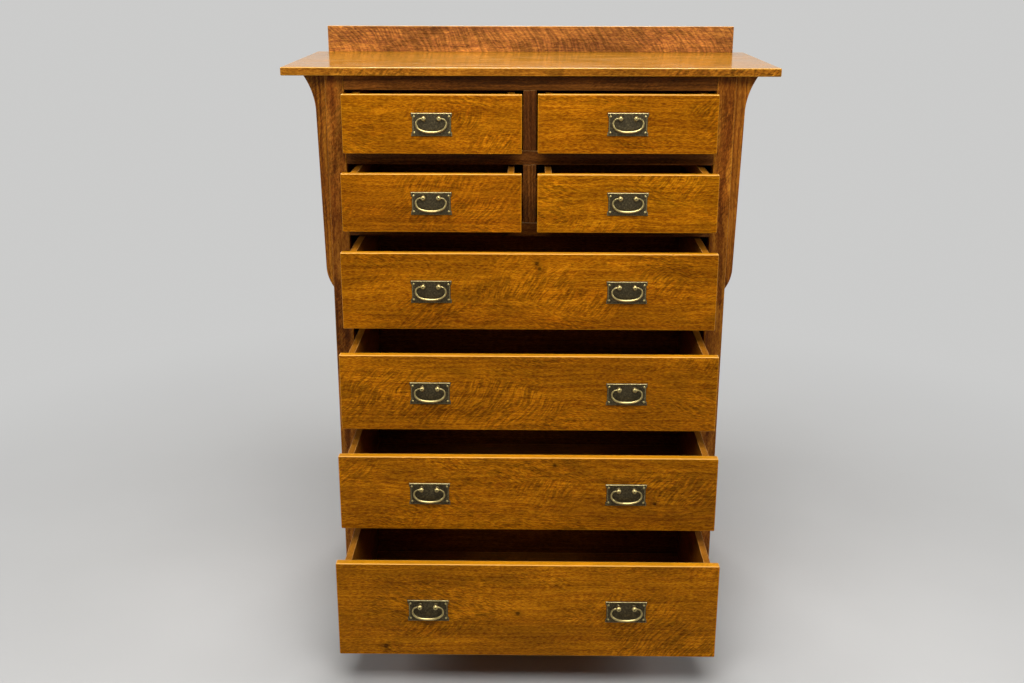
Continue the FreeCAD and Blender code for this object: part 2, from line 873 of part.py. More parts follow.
def make_drawer(name, row, opening_x, opened, pulls):
    """One drawer: front, box, the metal fixed to it, its slides' middle members and bails."""
    front_low = getattr(place, f"front_{row}_low")
    front_high = front_low + ROW_HEIGHTS[row]
    face = place.front_plane - opened
    box_y = face + size.front_thickness
    node(
        f"{name}_front",
        eased_board(
            f"{name}_face",
            (opening_x[0] + size.front_gap, opening_x[1] - size.front_gap),
            (face, box_y),
            (front_low, front_high),
            size.front_ease,
        ),
    )

    low = front_low + size.box_bottom_rise
    high = front_high - size.box_top_drop
    box_x = (opening_x[0] + size.box_side_gap, opening_x[1] - size.box_side_gap)
    inner_x = (box_x[0] + size.box_side_thickness, box_x[1] - size.box_side_thickness)
    box_back = box_y + place.box_depth
    bottom_z = (low + size.box_bottom_inset, low + size.box_bottom_inset + size.box_bottom_thickness)
    node(
        f"{name}_box",
        make_box_side(f"{name}_left_side", box_x[0], RIGHT, box_y, low, high),
        make_box_side(f"{name}_right_side", box_x[1], LEFT, box_y, low, high),
        block(
            f"{name}_back_board", inner_x,
            (box_back - size.box_back_thickness, box_back), (bottom_z[1], high),
        ),
        block(
            f"{name}_bottom_board",
            (inner_x[0] - size.box_groove_depth, inner_x[1] + size.box_groove_depth),
            (box_y, box_back), bottom_z,
        ),
    )

    plate_z = (front_low + front_high) / 2
    plate_face = face - size.plate_thickness
    knob_z = plate_z + size.knob_rise
    metal = []
    for word, pull_x in pulls.items():
        metal.append(make_plate(f"{name}_{word}plate", pull_x, face, plate_z))
        for outward, knob_word in ((LEFT, "left"), (RIGHT, "right")):
            knob_x = pull_x + size.knob_spacing / 2 * outward
            metal.append(
                make_knob(f"{name}_{word}{knob_word}_knob", knob_x, plate_face, knob_z, outward)
            )
    metal.extend(slide_members(name, row, box_x, opened, "inner"))
    node(f"{name}_hardware", *metal)
    node(f"{name}_slide_middle", *slide_members(name, row, box_x, opened, "middle"))
    for word, pull_x in pulls.items():
        node(
            f"{name}_{word}bail",
            make_bail(f"{name}_{word}handle", pull_x, plate_face - size.knob_standoff, knob_z),
        )


def write_parts():
    """Check every object, then write one file for each sub-part."""
    for item in doc.Objects:
        if "Invalid" in item.State or "Error" in item.State:
            raise RuntimeError(f"{item.Name} did not compute: {item.State}")
    for item in nodes:
        if item.Shape.isNull() or not item.Shape.isValid():
            raise RuntimeError(f"{item.Label} has no valid shape")
    os.makedirs("parts", exist_ok=True)
    for item in nodes:
        item.Shape.exportStep(os.path.join("parts", f"{item.Label}.step"))


make_top()
make_posts()
make_corbels()
make_sides_and_back()
make_face_frame()
make_divider()
make_cleats()
make_outer_members()
for drawer in DRAWERS:
    make_drawer(*drawer)
doc.recompute()
write_parts()
print(f"{len(nodes)} sub-parts, {sum(len(item.Shape.Solids) for item in nodes)} solids")
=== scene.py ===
import json
import math
import random

import bmesh
import bpy
from mathutils import Matrix, Vector

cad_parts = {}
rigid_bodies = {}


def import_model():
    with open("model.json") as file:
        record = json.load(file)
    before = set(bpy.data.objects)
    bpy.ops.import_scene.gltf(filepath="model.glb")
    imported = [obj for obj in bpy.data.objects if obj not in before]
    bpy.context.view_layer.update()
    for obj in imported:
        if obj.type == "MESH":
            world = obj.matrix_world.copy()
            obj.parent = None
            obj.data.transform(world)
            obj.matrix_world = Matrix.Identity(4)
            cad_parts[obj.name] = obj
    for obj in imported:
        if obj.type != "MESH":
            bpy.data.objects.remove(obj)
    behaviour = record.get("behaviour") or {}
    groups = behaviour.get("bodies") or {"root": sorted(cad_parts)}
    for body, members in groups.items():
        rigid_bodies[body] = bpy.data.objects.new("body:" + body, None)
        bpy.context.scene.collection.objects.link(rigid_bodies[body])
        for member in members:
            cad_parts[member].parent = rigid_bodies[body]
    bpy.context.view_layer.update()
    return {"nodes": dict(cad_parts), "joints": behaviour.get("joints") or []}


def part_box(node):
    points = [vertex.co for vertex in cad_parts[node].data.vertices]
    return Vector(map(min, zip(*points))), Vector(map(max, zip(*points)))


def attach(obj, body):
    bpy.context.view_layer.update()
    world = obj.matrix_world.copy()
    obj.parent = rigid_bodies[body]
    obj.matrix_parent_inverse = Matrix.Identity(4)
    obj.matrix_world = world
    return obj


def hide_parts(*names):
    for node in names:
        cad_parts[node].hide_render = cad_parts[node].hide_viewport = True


# The looks of a tall oak chest of drawers: stained quarter-sawn boards with rounded
# arrises, antique brass pulls with hanging bails, and zinc-plated drawer slides.

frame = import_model()

MM = 0.001

# Square to the chest's front, into it
INWARD = Vector((0, 1, 0))

# The camera, in millimetres and radians, and its lens on a sensor 36 mm wide
PHOTO_WIDTH = 1024
SENSOR_WIDTH = 36
FOCAL_PIXELS = 1173.37
CAMERA_PLACE = (-1.99, -2796.14, 1623.16)
CAMERA_YAW = 0.0141
CAMERA_PITCH = 0.312
CAMERA_ROLL = 0.0015

# How much the arrises are rounded, on each kind of board and on the steel
FRONT_EASE = 2.2 * MM
TOP_EASE = 2.6 * MM
CASE_EASE = 1.4 * MM
BOX_EASE = 1 * MM
STEEL_EASE = 0.3 * MM
EASE_STEPS = 3

# A face is an upward one, or an upper arris, when its normal rises by more than this
UPWARD = 0.5
ARRIS_UPWARD = 0.3

# How far the finish is lightened: at half it is amber, and at 1, on upper arrises, it is pale
# Upward faces get painted top light, upper arrises a painted highlight, and the other arrises wear
FRONT_TOP_LIGHT = 0.25
BOARD_TOP_LIGHT = 0.22
ARRIS_RUB = 0.18
UPPER_ARRIS_HIGHLIGHT = 1

# Corners closer than the first are one, faces that turn less than the second are one,
# and an edge that turns more than the third is sharp
WELD = 0.01 * MM
FLAT_TURN = math.radians(1)
SHARP_TURN = math.radians(25)

# How far, in metres, a board may be cut from the middle of its wood
WOOD_SPREAD = 4

# The values between which a noise mostly lies. Here and below, edges are the values
# between which something fades in, and repeats are how often a noise repeats in a metre:
# in wood, along the board, across it and through it.
NOISE_ENDS = (0.3, 0.7)

# The grain: long growth lines, short streaks between them, and open pores
GROWTH_REPEATS = (3, 190, 60)
STREAK_REPEATS = (105, 560, 520)
PORE_REPEATS = (130, 1300, 1300)
LINE_ROUGHNESS = 0.62
PORE_SHARE = 0.2
GRAIN_STOPS = (0.42, 0.5, 0.58)
OPEN_PORE_EDGES = (0.56, 0.68)
OPEN_PORE_DEPTH = 0.45

# How far the rings ripple and sway across the board
RIPPLE_REPEATS = (62, 95, 80)
RIPPLE = 4.2 * MM
SWAY_REPEATS = (5, 9, 9)
SWAY = 28 * MM

# The long and the short rays: how far each leans across the grain, and its repeats along
# itself, across itself and through the board
RAYS = ((math.radians(-52), (28, 210, 80)), (math.radians(21), (56, 300, 90)))
SPLASH_RAYS = ((math.radians(66), (14, 150, 60)), (math.radians(54), (24, 200, 70)))
RAY_EDGES = (0.38, 0.62)

# Where the figure fades in, and how far the rays lean through a board
PATCHY = (0.44, 0.62)
ALL_OVER = (0.1, 0.3)
COVER_REPEATS = (4.3, 9, 6)
RAY_LEAN = 0.9

# How the rays bend, and where the long ones give way to the short ones
SWIRL_REPEATS = (5, 9, 5)
SWIRL = 55 * MM
KIND_REPEATS = (2.3, 5.5, 3)
KIND_EDGES = (0.46, 0.54)

# The blocks of ribbon figure
BLOCK_REPEATS = (26, 85, 60)
BLOCK_DEPTH = 0.8
RIBBON_REPEATS = (3, 16, 6)
RIBBON_EDGES = (0.55, 0.62)

# The stain: small smudges, slow patches, and how far a board's tone moves red and green
SMUDGE_REPEATS = (8, 27, 20)
PATCH_REPEATS = (2.4, 6.5, 6.5)
TONE_RED = 0.07
TONE_GREEN = 0.12

# The boards that a panel is glued up from: how far apart they are cut, in metres along
# the wood, across it and through it, and how far their tones differ
BOARD_SHIFT = (9, 0, 5)
BOARD_TONE = 0.8

# The lightened colours: amber is the light colour with more red, green and a little blue, for worn
# edges and painted top light, and the pale one is a painted highlight
AMBER_RED = 1.7
AMBER_GREEN = 2.1
AMBER_BLUE = 0.004
PAINTED_HIGHLIGHT = (0.75, 0.46, 0.19)
PAINTED_HIGHLIGHT_WEIGHT = 0.5

# The oak's relief and gloss
GRAIN_RELIEF = 0.25 * MM
PORE_RELIEF = 0.6
STREAK_RELIEF = 0.4
FIGURE_RELIEF = 0.12
WORN_EDGES = (0.35, 0.65)
SMOOTHER = 0.06
ROUGHER = 0.08
OAK_IOR = 1.5
GLOSS_TINT = (1, 0.62, 0.25, 1)
COAT_SHARE = 0.3
COAT_ROUGHNESS_SHARE = 0.4

# The attributes that place the two knots a board may have
KNOTS = ("first_knot", "second_knot")

# Knots that show, as distances from the drawer front's lower left corner
KNOT_PLACES = {
    "drawer_3_front": ((456 * MM, 146 * MM), (450 * MM, 158 * MM)),
    "drawer_5_front": ((493 * MM, 163 * MM), (723 * MM, 69 * MM)),
    "drawer_6_front": ((411 * MM, 110 * MM), (108 * MM, 22 * MM)),
}
NO_KNOT = (-9, -9)

# A knot's shape, how uneven its rim is, and how its core and its halo fade out
KNOT_STRETCH = (0.85, 0.85, 0.3)
KNOT_WOBBLE = 6 * MM
KNOT_CORE = (1.8 * MM, 6 * MM)
KNOT_CORE_SHADE = 0.3
KNOT_HALO = (3 * MM, 17 * MM)
KNOT_HALO_SHADE = 0.8

# The brass, from its dark patina to where it is rubbed bright, and where it is painted bright as a
# highlight
MOTTLE_REPEATS = (260, 260, 260)
MOTTLE_WEIGHT = 0.45
GRIME_REPEATS = (900, 900, 900)
GRIME_RELIEF = 0.4
RUBBED_EDGES = (0.26, 0.76)
PATINA = ((0.046, 0.036, 0.02), (0.078, 0.061, 0.035))
BRIGHT_BRASS = ((0.29, 0.225, 0.08), (0.53, 0.43, 0.185))
PATINA_ROUGHNESS = 0.5
BRIGHT_ROUGHNESS = 0.31
BRASS_RELIEF = 0.2 * MM
BRASS_BUMP = 0.25

# The zinc plating: rolling marks along the slide, and patches of dust
ROLLED_REPEATS = (900, 12, 900)
DUST_REPEATS = (40, 40, 40)
ZINC = ((0.2, 0.205, 0.21), (0.36, 0.365, 0.37))
DUST = (0.3, 0.27, 0.22)
DUST_EDGES = (0.5, 0.8)
MOST_DUST = 0.35
ZINC_RELIEF = 0.1 * MM
ZINC_BUMP = 0.15

# How much wider the corbels look than their solids
CORBEL_SPREAD = 1.17

# Drawer boxes
BOX_SIDE = 15 * MM
BOX_BACK = 15 * MM
BOX_BOTTOM = 6 * MM
BOX_BOTTOM_INSET = 10 * MM

# The pieces of a drawer's hardware that are at least this long are slide members
SLIDE_LEAST_LENGTH = 300 * MM

# The pulls, measured from the middle of the plate, and what stands on it from its face
PLATE_HALF_WIDTH = 47.2 * MM
PLATE_HALF_HEIGHT = 26.7 * MM
PLATE_THICKNESS = 2.2 * MM
PLATE_WAIST = 2.6 * MM
PLATE_EAR = 8.5 * MM
PLATE_EAR_TAPER = 0.4 * MM
PLATE_EAR_FILLET = 4 * MM
PLATE_FILLET_STEPS = 4
PLATE_BEVEL = 2.2 * MM
PLATE_RIM = 1.2 * MM
PLATE_WORN_EDGE = 0.7 * MM
# The top rim is a little brighter than the other rims, a painted highlight over their wear
PLATE_TOP_RIM_ABOVE = 22 * MM
PLATE_TOP_WEAR_AND_HIGHLIGHT = 0.7
PLATE_EDGE_WEAR = 0.6
PLATE_FACE_WEAR = 0.3
KNOB_RISE = 14.5 * MM
KNOB_HALF_SPACING = 17.7 * MM
KNOB_STANDOFF = 10 * MM
KNOB_RADIUS = 6 * MM
KNOB_SIDES = 28

# A ball post's collar and neck as (out, radius, wear) rings, the ball's round between
# the neck and the dimple, and the dimple's rings, measured out from the ball's nose
COLLAR = ((0, 4.6 * MM, 0.2), (0.7 * MM, 4.6 * MM, 0.5), (1.1 * MM, 3.9 * MM, 0.3))
NECK = ((1.6 * MM, 3.2 * MM, 0.1), (4.4 * MM, 3.1 * MM, 0.15))
BALL_START = math.radians(-56)
BALL_SPAN = math.radians(116)
BALL_STEPS = 10
BALL_NECK_WEAR = 0.7
BALL_NOSE_WEAR = 1
DIMPLE = ((0.05 * MM, 1.6 * MM, 0.7), (-0.5 * MM, 0.9 * MM, 0.1), (-0.6 * MM, 0, 0))

# The nails, their domed heads as rings of height share, radius share and wear
NAIL_PLACE = (40 * MM, 18.3 * MM)
NAIL_RADIUS = 2.8 * MM
NAIL_HEIGHT = 1.5 * MM
NAIL_SIDES = 16
NAIL_RING_SHARES = ((0, 1, 0.18), (0.4, 0.92, 0.45), (0.8, 0.55, 0.81), (1, 0, 0.9))

# The bails, measured from the pivot
BAIL_START = 24 * MM
BAIL_PIN_REACH = 2.5 * MM
BAIL_SHOULDER = 11.5 * MM
BAIL_HALF_WIDTH = 34.5 * MM
BAIL_DROP = 30.8 * MM
BAIL_SQUARENESS = 0.9
BAIL_THIN_RADIUS = 1.9 * MM
BAIL_THICK_RADIUS = 2.9 * MM
BAIL_TAPER_POWER = 1.3
BAIL_STEPS = 22
SHOULDER_STEPS = 9
WIRE_SIDES = 16
WIRE_WEAR = 0.4
WIRE_LOW_WEAR = 0.3
# The wire's front is painted brighter and its back darker, as painted highlight and shade
WIRE_FRONT_HIGHLIGHT = 0.16

# The floor and the world, with distances in metres
FLOOR_HALF_WIDTH = 60
FLOOR_COLOURS = ((0.44, 0.435, 0.425), (0.47, 0.465, 0.455))
FLOOR_REPEATS = (1.3, 1.3, 1.3)
GROUND_FADE = (0.85, 2.7)
GROUND_COLOUR = (1, 1, 0.99, 1)
GROUND_STRENGTH = 0.6
WORLD_STRENGTH = 0.08

# Each lamp's name, place, target, size and power: a soft key in front and one overhead,
# a weaker one at each side, and one behind
LAMPS = (
    ("key", (0, -2.2, 2.8), (0, 0, 1), (1.8, 1.0), 63),
    ("overhead", (0, -0.55, 3.3), (0, -0.3, 0), (1.6, 0.9), 62),
    ("left_fill", (-3.3, -0.9, 2.0), (0, 0, 0.7), (1.5, 1.5), 38),
    ("right_fill", (3.3, -0.9, 2.0), (0, 0, 0.7), (1.5, 1.5), 38),
    ("back_fill", (0, 3.1, 3.3), (0, 0.4, 0.7), (1.8, 1.0), 90),
)


# Node graphs


class Graph:
    """A material's nodes, each added with what feeds it."""

    def __init__(self, name):
        self.material = bpy.data.materials.new(name)
        self.material.use_nodes = True
        self.tree = self.material.node_tree
        self.tree.nodes.clear()

    def add(self, kind, inputs=None, output=0, **settings):
        node = self.tree.nodes.new("ShaderNode" + kind)
        for key, value in settings.items():
            setattr(node, key, value)
        for key, value in (inputs or {}).items():
            if isinstance(value, bpy.types.NodeSocket):
                self.tree.links.new(value, node.inputs[key])
            else:
                node.inputs[key].default_value = value
        return node.outputs[output] if len(node.outputs) else node

    def attribute(self, name, output="Fac"):
        return self.add("Attribute", output=output, attribute_name=name)

    def sum(self, a, b):
        return self.add("Math", {0: a, 1: b}, operation="ADD")

    def product(self, a, b):
        return self.add("Math", {0: a, 1: b}, operation="MULTIPLY")

    def centred(self, value, reach):
        """A value from 0 to 1, moved and scaled to run as far below zero as above it."""
        return self.product(self.sum(value, -0.5), reach)

    def moved(self, a, b):
        return self.add("VectorMath", {0: a, 1: b}, operation="ADD")

    def parts(self, vector):
        """The vector's X, Y and Z."""
        return self.add("SeparateXYZ", {0: vector}).node.outputs

    def stretch(self, vector, scale, turn=0.0):
        """The vector turned about Z and then scaled along each axis."""
        if turn:
            vector = self.add(
                "VectorRotate", {"Vector": vector, "Angle": turn}, rotation_type="Z_AXIS"
            )
        return self.add("Mapping", {"Vector": vector, "Scale": scale})

    def noise(self, vector, detail=2.0, roughness=0.5, distortion=0.0):
        return self.add(
            "TexNoise",
            {
                "Vector": vector, "Scale": 1.0, "Detail": detail,
                "Roughness": roughness, "Distortion": distortion,
            },
        )

    def ramp(self, value, low, high, to_low=0.0, to_high=1.0):
        return self.add(
            "MapRange",
            {"Value": value, "From Min": low, "From Max": high, "To Min": to_low, "To Max": to_high},
            interpolation_type="SMOOTHSTEP",
        )

    def colours(self, value, places, colours):
        """A colour for the value, which has each of the colours at its place."""
        node = self.tree.nodes.new("ShaderNodeValToRGB")
        elements = node.color_ramp.elements
        while len(elements) < len(places):
            elements.new(0.5)
        for element, place, colour in zip(elements, places, colours):
            element.position = place
            element.color = (*colour, 1)
        self.tree.links.new(value, node.inputs[0])
        return node.outputs[0]

    def blend(self, factor, a, b, mode="MIX"):
        node = self.tree.nodes.new("ShaderNodeMix")
        node.data_type = "RGBA"
        node.blend_type = mode
        for place, value in ((0, factor), (6, a), (7, b)):
            if isinstance(value, bpy.types.NodeSocket):
                self.tree.links.new(value, node.inputs[place])
            elif place:
                node.inputs[place].default_value = (*value, 1)
            else:
                node.inputs[place].default_value = value
        return node.outputs[2]

    def surface(self, sockets):
        """The shader, fed by the sockets, joined to the output."""
        shader = self.add("BsdfPrincipled", sockets)
        self.add("OutputMaterial", {"Surface": shader})
        return self.material


# Materials


def ray_figure(g, wood, rays, cover):
    """The silvery figure of quarter-sawn oak, above and below zero: slanting rays in some
    patches, shorter rays in others, and a few blocks of ribbon."""
    swirl = g.add("TexNoise", {"Vector": g.stretch(wood, SWIRL_REPEATS), "Scale": 1.0}, "Color")
    bent = g.moved(wood, g.add("VectorMath", {0: swirl, "Scale": SWIRL}, operation="SCALE"))
    lean = g.add("CombineXYZ", {0: g.product(g.parts(wood)[2], -RAY_LEAN), 1: 0.0, 2: 0.0})
    bent = g.moved(bent, lean)
    long_rays, short_rays = (
        g.ramp(g.noise(g.stretch(bent, repeats, turn), roughness=0.6), *RAY_EDGES)
        for turn, repeats in rays
    )
    kind = g.ramp(g.noise(g.stretch(bent, KIND_REPEATS), detail=1.0), *KIND_EDGES)
    present = g.ramp(g.noise(g.stretch(wood, COVER_REPEATS)), *cover)
    seen = g.add("Mix", {0: kind, 2: long_rays, 3: short_rays}, data_type="FLOAT")
    seen = g.product(g.centred(seen, 2.0), present)

    blocks = g.add(
        "TexVoronoi", {"Vector": g.stretch(wood, BLOCK_REPEATS), "Scale": 1.0}, "Color",
        distance="CHEBYCHEV",
    )
    ribbon = g.ramp(g.noise(g.stretch(wood, RIBBON_REPEATS), detail=1.0), *RIBBON_EDGES)
    return g.sum(seen, g.product(g.centred(blocks, 2 * BLOCK_DEPTH), ribbon))


def glued_boards(g, wood, tone, width):
    """A wide panel is glued up from boards, each with its own stretch of wood and tone."""
    number = g.add("Math", {0: g.product(g.parts(wood)[1], 1 / width)}, operation="FLOOR")
    draw = g.add("TexWhiteNoise", {"W": number}, "Value", noise_dimensions="1D")
    shift = g.add("CombineXYZ", {
        place: g.product(draw, reach) for place, reach in enumerate(BOARD_SHIFT)
    })
    return g.moved(wood, shift), g.sum(tone, g.centred(draw, 2 * BOARD_TONE))


def wavy_place(g, wood):
    """The place in the wood, its distance across the board swayed as the rings are."""
    along, across, through = g.parts(wood)
    ripple = g.centred(g.noise(g.stretch(wood, RIPPLE_REPEATS)), RIPPLE)
    sway = g.centred(g.noise(g.stretch(wood, SWAY_REPEATS)), SWAY)
    return g.add("CombineXYZ", {0: along, 1: g.sum(across, g.sum(ripple, sway)), 2: through})


def knot_shade(g, wood, smudges):
    """What the knots leave of the wood's lightness: a small dark core in a faint halo."""
    shade = 1.0
    for knot in KNOTS:
        away = g.add("VectorMath", {0: wood, 1: g.attribute(knot, "Vector")}, operation="SUBTRACT")
        away = g.add("VectorMath", {0: g.stretch(away, KNOT_STRETCH)}, "Value", operation="LENGTH")
        away = g.sum(away, g.centred(smudges, KNOT_WOBBLE))
        shade = g.product(shade, g.ramp(away, *KNOT_CORE, KNOT_CORE_SHADE, 1.0))
        shade = g.product(shade, g.ramp(away, *KNOT_HALO, KNOT_HALO_SHADE, 1.0))
    return shade


def finish_worn_and_lit(g, colour, light, rub_and_light):
    """The finish lightened by the marked share: to amber on worn edges and, as painted top light, on
    upward faces, then on upper arrises on to a pale painted highlight.
    """
    amber = (AMBER_RED * light[0], AMBER_GREEN * light[1], AMBER_BLUE + light[2])
    wear_and_light = g.attribute("wear_and_painted_light")
    colour = g.blend(g.product(g.ramp(wear_and_light, 0.0, 0.5), rub_and_light), colour, amber)
    return g.blend(g.product(g.ramp(wear_and_light, 0.5, 1.0), PAINTED_HIGHLIGHT_WEIGHT * rub_and_light), colour, PAINTED_HIGHLIGHT)


def oak(
    name, colours, figure_depth, patch_depth, roughness, rub_and_light, specular=0.3, boards=0.0,
    rays=RAYS, cover=PATCHY, bump=0.3, plain=0.28,
):
    """Stained quarter-sawn oak, its colours given from dark to light: wavy grain along the
    board's own X, its rings stacked along its Y, with open pores, ray figure, slow patches
    of deeper stain and a knot or two. Plain is the share of the long growth lines."""
    g = Graph(name)
    wood = g.attribute("wood", "Vector")
    tone = g.attribute("tone")
    if boards:
        wood, tone = glued_boards(g, wood, tone, boards)

    place = wavy_place(g, wood)
    growth = g.noise(g.stretch(place, GROWTH_REPEATS), detail=3.0, roughness=LINE_ROUGHNESS)
    streaks = g.noise(g.stretch(place, STREAK_REPEATS), detail=3.0, roughness=LINE_ROUGHNESS)
    pores = g.noise(g.stretch(place, PORE_REPEATS), roughness=LINE_ROUGHNESS)
    open_pores = g.ramp(pores, *OPEN_PORE_EDGES)
    figure = ray_figure(g, wood, rays, cover)
    smudges = g.noise(
        g.stretch(wood, SMUDGE_REPEATS), detail=3.0, roughness=0.6, distortion=0.8
    )
    patches = g.noise(
        g.stretch(wood, PATCH_REPEATS), detail=3.0, roughness=0.55, distortion=0.6
    )

    fine = g.sum(g.product(streaks, 1 - PORE_SHARE - plain), g.product(pores, PORE_SHARE))
    grain = g.sum(g.product(growth, plain), fine)
    shade = g.sum(1.0, g.product(figure, figure_depth))
    for stain in (smudges, patches):
        deeper = g.ramp(stain, *NOISE_ENDS, 1.0 - patch_depth, 1.0 + patch_depth)
        shade = g.product(shade, deeper)
    shade = g.product(shade, g.sum(1.0, g.product(open_pores, -OPEN_PORE_DEPTH)))
    shade = g.product(shade, knot_shade(g, wood, smudges))
    tint = g.add("CombineColor", {
        0: g.product(shade, g.ramp(tone, -1.0, 1.0, 1 - TONE_RED, 1 + TONE_RED)),
        1: g.product(shade, g.ramp(tone, -1.0, 1.0, 1 - TONE_GREEN, 1 + TONE_GREEN)),
        2: shade,
    })
    colour = g.blend(1.0, g.colours(grain, GRAIN_STOPS, colours), tint, "MULTIPLY")

    height = g.sum(g.product(streaks, STREAK_RELIEF), g.product(figure, FIGURE_RELIEF))
    height = g.sum(g.product(open_pores, -PORE_RELIEF), height)
    relief = g.add("Bump", {"Strength": bump, "Distance": GRAIN_RELIEF, "Height": height}, "Normal")
    worn = g.sum(g.product(pores, 0.5), g.product(smudges, 0.5))
    return g.surface({
        # Worn edges, painted top light on upward faces and painted highlights on upper arrises
        "Base Color": finish_worn_and_lit(g, colour, colours[-1], rub_and_light),
        "Normal": relief,
        "IOR": OAK_IOR,
        "Roughness": g.ramp(worn, *WORN_EDGES, roughness - SMOOTHER, roughness + ROUGHER),
        "Specular IOR Level": specular,
        "Specular Tint": GLOSS_TINT,
        "Coat Weight": COAT_SHARE * specular,
        "Coat Roughness": COAT_ROUGHNESS_SHARE * roughness,
    })


def antique_brass():
    """Dark oiled patina, rubbed through to bright brass where hands and bevels catch, and brighter
    still as a painted highlight on the plate's top rim and the wire's front.
    """
    g = Graph("antique_brass")
    place = g.add("TexCoord", output="Object")
    mottle = g.noise(g.stretch(place, MOTTLE_REPEATS), detail=4.0, roughness=0.6)
    grime = g.noise(g.stretch(place, GRIME_REPEATS), roughness=0.6)
    wear_and_highlight = g.sum(g.attribute("wear_and_highlight"), g.centred(mottle, MOTTLE_WEIGHT))
    wear_and_light = g.ramp(wear_and_highlight, *RUBBED_EDGES)
    patina = g.colours(mottle, NOISE_ENDS, PATINA)
    bright = g.colours(grime, NOISE_ENDS, BRIGHT_BRASS)
    height = g.sum(mottle, g.product(grime, GRIME_RELIEF))
    relief = {"Strength": BRASS_BUMP, "Distance": BRASS_RELIEF, "Height": height}
    return g.surface({
        "Base Color": g.blend(wear_and_light, patina, bright),
        "Metallic": 1.0,
        "Roughness": g.ramp(wear_and_light, 0.0, 1.0, PATINA_ROUGHNESS, BRIGHT_ROUGHNESS),
        "Normal": g.add("Bump", relief, "Normal"),
    })


def zinc():
    """Zinc-plated steel with faint rolling marks and a little dust."""
    g = Graph("slide_steel")
    place = g.add("TexCoord", output="Object")
    rolled = g.noise(g.stretch(place, ROLLED_REPEATS))
    dust = g.noise(g.stretch(place, DUST_REPEATS), detail=3.0, roughness=0.6)
    dusty = g.ramp(dust, *DUST_EDGES, 0.0, MOST_DUST)
    relief = {"Strength": ZINC_BUMP, "Distance": ZINC_RELIEF, "Height": rolled}
    return g.surface({
        "Base Color": g.blend(dusty, g.colours(rolled, NOISE_ENDS, ZINC), DUST),
        "Metallic": 1.0,
        "Roughness": g.ramp(dust, 0.3, 0.8, 0.3, 0.5),
        "Normal": g.add("Bump", relief, "Normal"),
    })


OAK_TOP = oak(
    "oak_top", ((0.17, 0.052, 0.004), (0.29, 0.105, 0.006), (0.42, 0.17, 0.012)),
    figure_depth=0.4, patch_depth=0.15, roughness=0.13, rub_and_light=0.6,
    specular=0.11, boards=127 * MM, bump=0.05,
)
OAK_SPLASH = oak(
    "oak_splash", ((0.15, 0.045, 0.012), (0.27, 0.095, 0.017), (0.42, 0.17, 0.025)),
    figure_depth=0.33, patch_depth=0.2, roughness=0.3, rub_and_light=0.6,
    rays=SPLASH_RAYS, cover=ALL_OVER,
)
OAK_CASE = oak(
    "oak_case", ((0.09, 0.02, 0.002), (0.215, 0.06, 0.005), (0.38, 0.14, 0.012)),
    figure_depth=0.25, patch_depth=0.2, roughness=0.3, rub_and_light=0.4,
    specular=0.18, plain=0.52,
)
OAK_PANEL = oak(
    "oak_panel", ((0.1, 0.024, 0.003), (0.21, 0.058, 0.005), (0.34, 0.12, 0.011)),
    figure_depth=0.3, patch_depth=0.18, roughness=0.3, rub_and_light=0.4,
    boards=105 * MM, plain=0.4,
)
# The case oak at about half its lightness for rails, stiles and cleats: painted shade for where they
# sit back under the top and between the open drawers
OAK_RAIL_PAINTED_SHADE = oak(
    "oak_rail_painted_shade", ((0.045, 0.012, 0.002), (0.11, 0.031, 0.004), (0.19, 0.06, 0.009)),
    figure_depth=0.2, patch_depth=0.22, roughness=0.3, rub_and_light=0.45,
    specular=0.16, plain=0.45,
)
OAK_FRONT = oak(
    "oak_front", ((0.155, 0.037, 0.0008), (0.28, 0.084, 0.0012), (0.41, 0.145, 0.003)),
    figure_depth=0.33, patch_depth=0.17, roughness=0.34, rub_and_light=0.85,
    specular=0.1,
)
OAK_DRAWER = oak(
    "oak_drawer", ((0.1, 0.026, 0.0015), (0.18, 0.056, 0.003), (0.27, 0.092, 0.006)),
    figure_depth=0.1, patch_depth=0.14, roughness=0.42, rub_and_light=0.45,
    specular=0.12,
)
OAK_INSIDE = oak(
    "oak_inside", ((0.2, 0.06, 0.005), (0.31, 0.1, 0.009), (0.42, 0.15, 0.015)),
    figure_depth=0.08, patch_depth=0.14, roughness=0.5, rub_and_light=0.3,
)
BACK_PLY = oak(
    "back_ply", ((0.16, 0.06, 0.014), (0.25, 0.11, 0.028), (0.34, 0.165, 0.05)),
    figure_depth=0.05, patch_depth=0.12, roughness=0.5, rub_and_light=0.3,
)
BRASS = antique_brass()
STEEL = zinc()


# Meshes


def islands(mesh):
    """The separate solids of a bmesh, each as its list of vertices."""
    seen = set()
    found = []
    for start in mesh.verts:
        if start in seen:
            continue
        seen.add(start)
        group = [start]
        for vertex in group:
            for edge in vertex.link_edges:
                other = edge.other_vert(vertex)
                if other not in seen:
                    seen.add(other)
                    group.append(other)
        found.append(group)
    return found


def extent(vertices):
    """The lowest and the highest corner of the box round some vertices."""
    places = [vertex.co for vertex in vertices]
    low = Vector(min(place[axis] for place in places) for axis in range(3))
    high = Vector(max(place[axis] for place in places) for axis in range(3))
    return low, high


def cad_solids(node):
    """A CAD node's solids with their flat faces whole again."""
    mesh = bmesh.new()
    mesh.from_mesh(frame["nodes"][node].data)
    bmesh.ops.remove_doubles(mesh, verts=mesh.verts, dist=WELD)
    bmesh.ops.dissolve_limit(
        mesh, angle_limit=FLAT_TURN, verts=mesh.verts, edges=mesh.edges, use_dissolve_boundaries=False
    )
    return mesh


def add_block(mesh, low, high):
    """A board between two corners, added to a bmesh."""
    size = Vector(high) - Vector(low)
    middle = (Vector(high) + Vector(low)) / 2
    bmesh.ops.create_cube(mesh, size=1, matrix=Matrix.Translation(middle) @ Matrix.Diagonal((*size, 1)))


